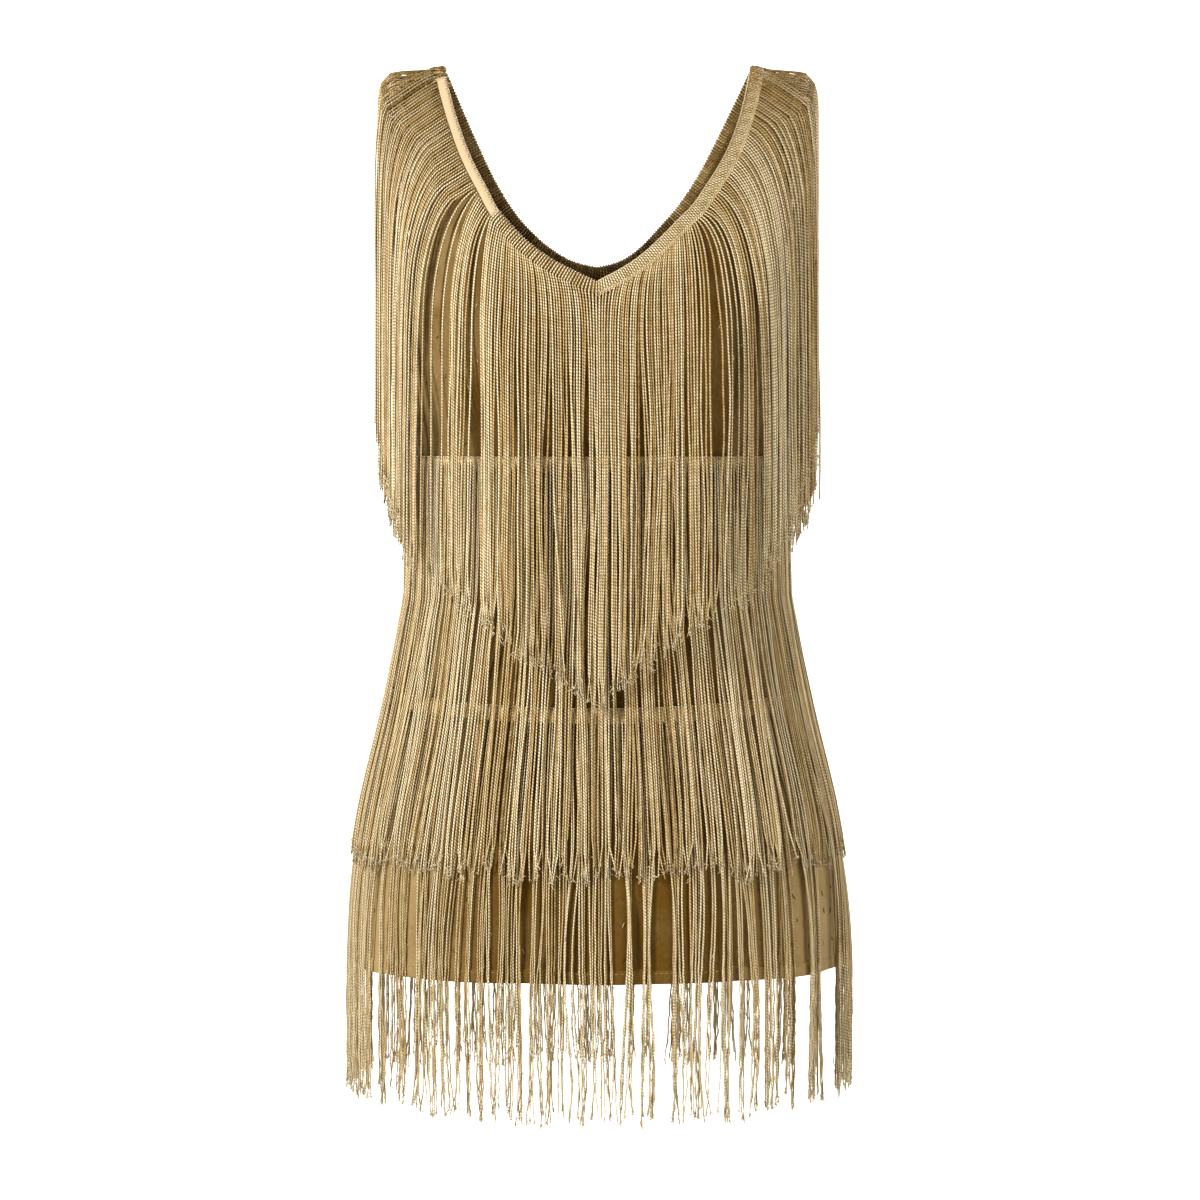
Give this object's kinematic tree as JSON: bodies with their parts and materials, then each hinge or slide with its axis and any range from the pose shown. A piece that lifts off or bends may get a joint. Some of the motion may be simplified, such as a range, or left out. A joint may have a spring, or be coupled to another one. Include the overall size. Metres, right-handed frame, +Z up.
{
  "type": "fringed flapper dress",
  "caption": "Sleeveless V-neck party dress in its worn, hollow shape, with long thread fringe hanging in tiers from the neck, shoulders, bust and hips.",
  "frame": {"origin": "midway between the shoulders, level with the top of the shoulder seams, where the wearer carries the dress", "axes": "+X to the right of the front view, -Y out of the dress's front, +Z up along the dress"},
  "size_m": [0.3923, 0.2544, 0.7967],
  "materials": {
    "cloth": "satin stretch knit",
    "fringe": "twisted rayon thread with a soft sheen"
  },
  "bodies": {
    "root": {"front_panel": "cloth", "back_panel": "cloth", "neck_fringe_front": "fringe", "neck_fringe_back": "fringe", "shoulder_fringe_left": "fringe", "shoulder_fringe_right": "fringe", "middle_fringe_front": "fringe", "middle_fringe_back": "fringe", "lower_fringe_front": "fringe", "lower_fringe_back": "fringe"}
  },
  "joints": []
}
